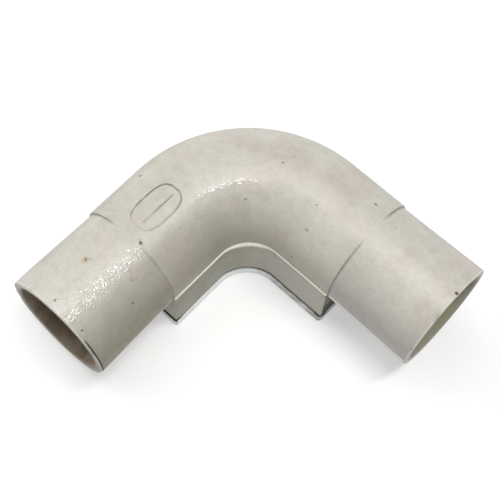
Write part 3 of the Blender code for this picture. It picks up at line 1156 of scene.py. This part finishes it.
def worn_and_highlit_edges(at):
    """Worn edges lightened to a painted highlight: the ledge of the box, the parting line's bead along the
    sockets, and the mouths' outer edges.
    """
    crest = np.clip(1.6 - np.abs(at.along) / 0.009, 0, 1)
    ledge = between(at.up, -PARTING_DROP - 0.00004 - 0.00018 * crest, -PARTING_DROP + 0.00012, 0.0001)
    ledge *= at.on_box * (at.radius > 0.0118)
    on_socket = ~at.on_box * (at.radius > 0.0112)
    bead = between(at.up, -PARTING_DROP - 0.0003, -PARTING_DROP + 0.0003, 0.0002) * on_socket
    # painted highlight: a light band along the right socket's crook side, at the parting line
    band = 0.9 * between(at.up, -0.0024, -0.0013, 0.0005) * on_socket * at.crook
    bead = np.maximum(bead, band * between(at.along, 0, PATH_END - 0.0045, 0.004))
    bead *= np.where(at.along < 0, 0.4 * np.clip((at.along + PATH_END - 0.003) / 0.006, 0, 1), 1.0)
    bead *= np.abs(at.along) < PATH_END - 0.0003
    lip = close_to(np.abs(at.along), PATH_END - 0.00010, 0.00016)
    return 0.80 * ledge + 0.90 * bead + 0.4 * lip * close_to(at.radius, MOUTH_RADIUS - 0.0001, 0.00016)


def tints_on(at):
    """Where painted shade and painted light tint the plastic: its sides, its walls, its underside and the two
    sockets.
    """
    # painted shade: darker away from the top, a little less on the walls and towards the right
    side = np.clip((np.abs(at.degrees - 92) - 38) / 50, 0, 1) ** 1.3
    side *= np.where(at.wall > 0, 0.76, 1.0) * (1 - 0.22 * np.clip(at.along / 0.015, 0, 1))
    # painted shade: the lower side of the right socket, cooler and darker
    low = np.clip((at.turned_in - 125) / 65, 0, 1) * between(at.along, PATH_SHOULDER, PATH_END + MM, 0.0015)
    # painted light: the top of the left socket lighter
    light = close_to(at.degrees, 92, 34) * between(at.along, -PATH_END - MM, -PATH_SHOULDER - 0.0015, 0.004)
    # painted shade: the outer side darker towards its edge
    edge_on = np.clip((44 - at.degrees) / 30, 0, 1) * (at.across > 0)
    # painted shade: the flat walls olive and darker, most on the left
    leftward = np.clip(0.5 - at.along / 0.014, 0, 1)
    # painted shade: the underside in the crook darker, most towards the left
    crook_shade = np.clip((at.turned_in - 114) / 62, 0, 1) * np.clip(0.2 - at.along / 0.018, 0, 1) * at.crook
    under_share = np.where(at.wall > 0, (0.90 + at.up * 14) * at.wall, np.where(at.on_box, 0.50, 0.92))
    return {
        "side": 0.75 * side,
        "cool_shade": 0.95 * low,
        "light": 0.30 * light,
        "shade": edge_on * np.where((at.along < -0.008) | (at.along > PATH_SHOULDER), 0.75, 0.45),
        "wall": at.wall * (0.06 + 0.90 * leftward) * np.where(at.across > 0, 0.35, 1.0),
        "crook_shade": crook_shade * under_share,
    }


def paint_dirt_and_light_on_elbow(body, ridges_from):
    """Every layer that the elbow's material reads."""
    at = Where(body)
    peel = (at.along < -PATH_SHOULDER) * close_to(at.degrees, 107, 17)
    peel = peel * np.clip(1.15 - (at.along + PATH_END) / 0.030, 0, 1)
    peel += 0.7 * close_to(at.degrees, 111, 3.5) * between(at.along, -0.014, 0.002, 0.004) * (at.up > 0)
    across_mark = (at.degrees - MARK_ANGLE + 7) / 5.5
    set_layers(body, tints_on(at))
    set_layers(
        body,
        {
            "grime_and_shade": grime_and_shade_on(at, ridges_from),
            "painted_shadow": painted_shadow_on(at),
            "edge": worn_and_highlit_edges(at),
            "peel": peel,
            "mark": np.exp(-(((at.along - MARK_ALONG) / 0.0042) ** 4) - across_mark**4) * (at.up > 0),
            "bore_painted_light": between(at.along, PATH_END - 0.004, PATH_END + MM, 0.005),
        },
    )


def ridge_grime(along, across, up):
    """Dirt caught along the foot of the moulded ridges, darkest at the oval's upper end."""
    angle = np.arctan2(up, across)
    half_width = np.where(across > 0, OUTER_HALF_WIDTH, INNER_HALF_WIDTH)
    surface = np.hypot(half_width * np.cos(angle), ROUND_HEIGHT * np.sin(angle))
    low = np.clip(1.5 - (np.hypot(across, up) - surface) / RIDGE_HEIGHT, 0, 1)
    end = np.clip((along - MARK_ALONG) / MARK_LENGTH, -1, 1)
    outer = np.clip((math.radians(MARK_ANGLE) - angle) * ROUND_HEIGHT / MARK_WIDTH, -1, 1)
    return low * np.clip(0.66 + 0.30 * end + 0.28 * outer, 0, 1) * np.clip((end + 1.0) / 0.25, 0.15, 1)


def paint_shade_on_cover(cover):
    along, across, up = path_coordinates(vectors_of(cover.data.vertices, "co"))
    height = up + AXIS_HEIGHT
    reach = np.abs(across)
    crook = (across < 0) & (height < COVER_THICKNESS)
    rightward = np.clip((along - 0.004) / 0.012, 0, 1) * crook
    outermost = reach > COVER_HALF_WIDTH - 0.0008
    foot = close_to(height, 0.0, 0.0002) * outermost
    under_line = (0.60 + 0.35 * rightward) * close_to(height, 0.0, 0.00028) * crook
    under_line *= reach > COVER_HALF_WIDTH - 0.0005
    on_top = height > COVER_THICKNESS - 0.0002
    inside = on_top & (reach < COVER_HALF_WIDTH - 0.00022) & (reach > CHAMBER_RADIUS - 0.0001)
    ends = on_top & (np.abs(along) > PATH_SHOULDER - END_WALL) & (np.abs(along) < PATH_SHOULDER - 0.0003)
    right_end = (along > PATH_SHOULDER - 0.0004) & (across > -COVER_HALF_WIDTH + COVER_CORNER_RADIUS)
    # painted shade along the foot and towards the right end; painted shadow on the top inside the rim and
    # near the ends, on the right end, and along the foot on the crook side
    set_layers(
        cover,
        {
            "grime_and_shade": 0.6 * foot + np.where(outermost, 0.60, 0.20) * rightward,
            "painted_shadow": 0.92 * (inside | ends) + 0.45 * right_end + under_line,
        },
    )


def paint_inside(body):
    """Give the bores, the ports and the chamber the browned plastic with its painted shade."""
    along, across, up = path_coordinates(vectors_of(body.data.polygons, "center"))
    radius = np.hypot(across, up)
    in_socket = (np.abs(along) > PATH_SHOULDER - END_WALL - 0.0001) & (radius < BORE_MOUTH_RADIUS + 0.00025)
    in_box = (np.abs(along) < PATH_SHOULDER - END_WALL + 0.0001) & (np.abs(across) < CHAMBER_RADIUS + 0.0002)
    in_box &= (up > -RIM_DROP + 0.0001) & ((radius < CHAMBER_RADIUS + 0.0002) | (up < 0))
    body.data.polygons.foreach_set("material_index", (in_socket | in_box).astype(np.int32))


# ---------------------------------------------------------------- the object

elbow = make_elbow()
plain_count = len(elbow.data.vertices)
merge(elbow, *mark_ridges())
paint_dirt_and_light_on_elbow(elbow, plain_count)
elbow.data.materials.append(aged_pvc())
elbow.data.materials.append(bore_plastic())
paint_inside(elbow)
shade(elbow)
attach(elbow, "elbow")
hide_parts("elbow_body")

cover = make_cover()
paint_shade_on_cover(cover)
cover.data.materials.append(cover_pvc())
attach(cover, "cover")
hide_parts("inspection_cover")

steel, brass = zinc_steel(), dull_brass()
for arm in ARMS:
    screw = make_screw(arm)
    screw.data.materials.append(steel)
    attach(screw, "screw_" + arm)
    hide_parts("cover_screw_" + arm)
    insert = make_insert(arm)
    insert.data.materials.append(brass)
    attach(insert, "elbow")
    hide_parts("threaded_insert_" + arm)

# ---------------------------------------------------------------- floor, light and camera

FLOOR_HALF = 0.45
FLOOR_HEIGHT = -0.00002
FLOOR_GLOW = 0.45
FADE_START = 0.13
FADE_END = 0.40
WHITE = (1.0, 1.0, 1.0)


def pale_floor():
    """A plain near-white table: it fades out around the object, and is only there from above."""
    s = Shader("pale_floor")
    colour = s.mix(s.ramp(s.noise(9, 3), 0.3, 0.7), (0.50, 0.50, 0.50), (0.52, 0.52, 0.52))
    s.finish(colour, 0.9)
    s.link(WHITE, s.surface.inputs["Emission Color"])
    s.link(FLOOR_GLOW, s.surface.inputs["Emission Strength"])
    clear = s.node("BsdfTransparent", "BSDF", {})
    reach = s.node("VectorMath", "Value", {0: s.place}, operation="LENGTH")
    facing_away = s.node("NewGeometry", "Backfacing", {})
    gone = s.maths("MAXIMUM", s.ramp(reach, FADE_START, FADE_END), facing_away)
    mixed = s.node("MixShader", "Shader", {"Fac": gone, 1: s.surface.outputs["BSDF"], 2: clear})
    s.link(mixed, s.tree.nodes["Material Output"].inputs["Surface"])
    return s.material


corners = [(-1, -1), (1, -1), (1, 1), (-1, 1)]
floor_mesh = bpy.data.meshes.new("floor")
floor_points = [(x * FLOOR_HALF, y * FLOOR_HALF, FLOOR_HEIGHT) for x, y in corners]
floor_mesh.from_pydata(floor_points, [], [(0, 1, 2, 3)])
floor = add_object("floor", floor_mesh)
floor_mesh.materials.append(pale_floor())
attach(floor, "cover")


LIGHT_TARGET = Vector((0.018, -0.018, AXIS_HEIGHT))


def soft_light(name, direction, distance, long_side, short_side, along, watts, colour):
    """Rectangular soft light that faces the object, with its long side turned along a direction."""
    data = bpy.data.lights.new(name, "AREA")
    data.shape = "RECTANGLE"
    data.size = long_side
    data.size_y = short_side
    data.energy = watts
    data.color = colour
    light = bpy.data.objects.new(name, data)
    away = Vector(direction).normalized()
    side = (Vector(along) - away * Vector(along).dot(away)).normalized()
    turn = Matrix((side, away.cross(side), away)).transposed().to_4x4()
    light.matrix_world = Matrix.Translation(LIGHT_TARGET + away * distance) @ turn
    bpy.context.scene.collection.objects.link(light)


soft_light("strip", (0.20, 0.06, 0.97), 0.8, 0.40, 0.08, (0.4, 0.9, 0), 3.4, (1.0, 0.99, 0.97))
soft_light("overhead", (-0.08, 0.12, 1.0), 0.8, 0.6, 0.6, (1, 0, 0), 3.4, (1.0, 0.99, 0.975))
soft_light("left_window", (-0.72, -0.15, 0.70), 0.8, 0.6, 0.5, (0, 1, 0), 3.0, (1.0, 0.99, 0.98))


def studio_world():
    """White all round and below the horizon, and a dim ceiling above."""
    world = bpy.data.worlds.new("studio")
    world.use_nodes = True
    tree = world.node_tree
    direction = tree.nodes.new("ShaderNodeTexCoord")
    split = tree.nodes.new("ShaderNodeSeparateXYZ")
    tree.links.new(direction.outputs["Generated"], split.inputs["Vector"])
    height = tree.nodes.new("ShaderNodeMapRange")
    height.interpolation_type = "SMOOTHSTEP"
    for name, number in (("From Min", 0.12), ("From Max", 0.26), ("To Min", 1.0), ("To Max", 0.08)):
        height.inputs[name].default_value = number
    tree.links.new(split.outputs["Z"], height.inputs["Value"])
    tree.links.new(height.outputs["Result"], tree.nodes["Background"].inputs["Strength"])
    tree.nodes["Background"].inputs["Color"].default_value = (1.0, 1.0, 1.0, 1.0)
    return world


scene = bpy.context.scene
scene.world = studio_world()

scene.view_settings.view_transform = "Standard"
scene.view_settings.look = "None"
scene.view_settings.exposure = 0.0
scene.view_settings.gamma = 1.0

CAMERA_LENS = 81.445
CAMERA_PLACE = (0.07062, -0.08615, 0.22487)
CAMERA_TURN = (0.40482, -0.03596, 0.74425)
camera_data = bpy.data.cameras.new("camera")
camera_data.lens = CAMERA_LENS
camera_data.sensor_width = 36.0
camera_data.clip_start = 0.01
camera_data.clip_end = 10.0
camera = bpy.data.objects.new("camera", camera_data)
camera.location = CAMERA_PLACE
camera.rotation_euler = CAMERA_TURN
scene.collection.objects.link(camera)
scene.camera = camera
